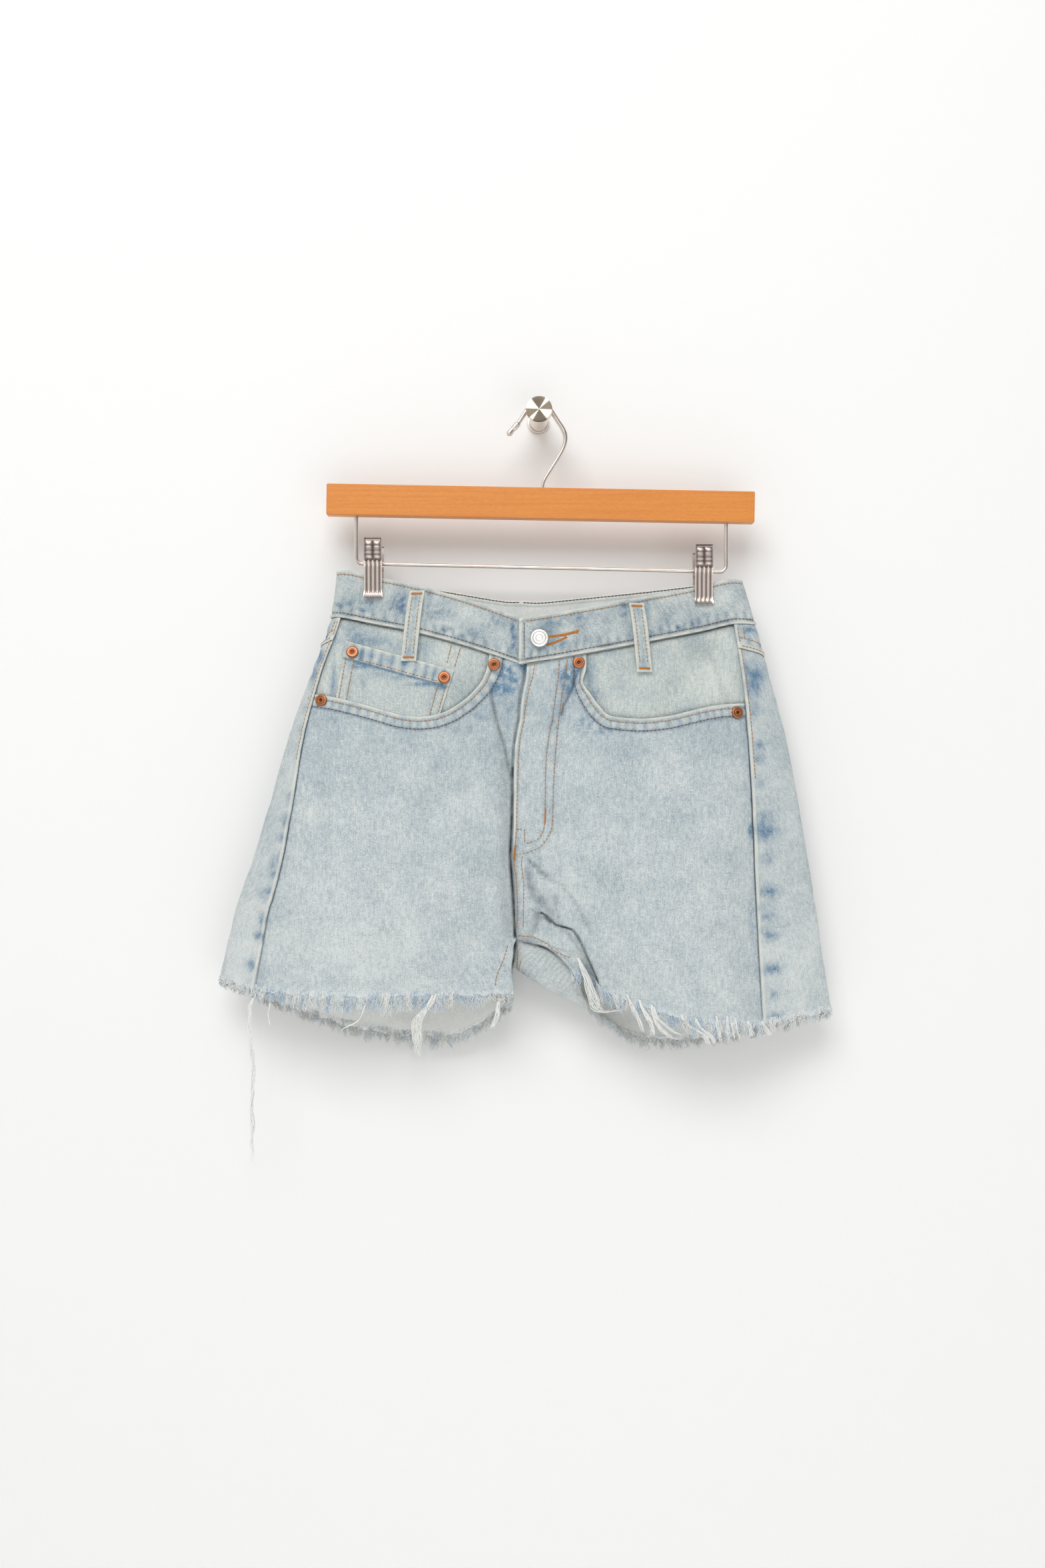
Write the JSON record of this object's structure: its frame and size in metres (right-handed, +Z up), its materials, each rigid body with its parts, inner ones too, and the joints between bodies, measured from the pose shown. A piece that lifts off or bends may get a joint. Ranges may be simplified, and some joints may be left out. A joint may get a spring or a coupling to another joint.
{
  "type": "denim shorts on a clip hanger and wall peg",
  "caption": "Light blue denim cut-off shorts with frayed hems, clipped by the waistband to a wooden hanger bar that hangs by its wire hook from a round steel wall peg.",
  "frame": {"origin": "centre of the wall peg's back face, on the wall", "axes": "+X to the right of someone facing the wall, +Y into the wall, +Z up"},
  "size_m": [0.5179, 0.0789, 0.6274],
  "materials": {
    "denim": "light stone-washed cotton twill with golden topstitching",
    "cotton": "loose frayed cotton yarn",
    "copper": "dull copper plating",
    "zinc": "satin zinc alloy",
    "wood": "clear-lacquered, warm brown",
    "plated_steel": "bright plated steel",
    "peg_steel": "turned, brushed steel"
  },
  "bodies": {
    "root": {"waistband": "denim", "front_right": "denim", "front_left": "denim", "pocket_facing_right": "denim", "pocket_facing_left": "denim", "coin_pocket": "denim", "fly_facing": "denim", "yoke_right": "denim", "yoke_left": "denim", "back_right": "denim", "back_left": "denim", "back_pocket_right": "denim", "back_pocket_left": "denim", "belt_loop_front_right": "denim", "belt_loop_front_left": "denim", "belt_loop_back_right": "denim", "belt_loop_back_left": "denim", "belt_loop_centre_back": "denim", "fringe_right": "cotton", "fringe_left": "cotton", "rivet_right_side": "copper", "rivet_right_front": "copper", "rivet_left_front": "copper", "rivet_left_side": "copper", "rivet_coin_outer": "copper", "rivet_coin_inner": "copper", "button": "zinc", "hanger_bar": "wood", "hanger_hook": "plated_steel", "hanger_wire": "plated_steel", "clip_right_front": "plated_steel", "clip_right_back": "plated_steel", "clip_left_front": "plated_steel", "clip_left_back": "plated_steel", "wall_peg": "peg_steel"}
  },
  "joints": []
}
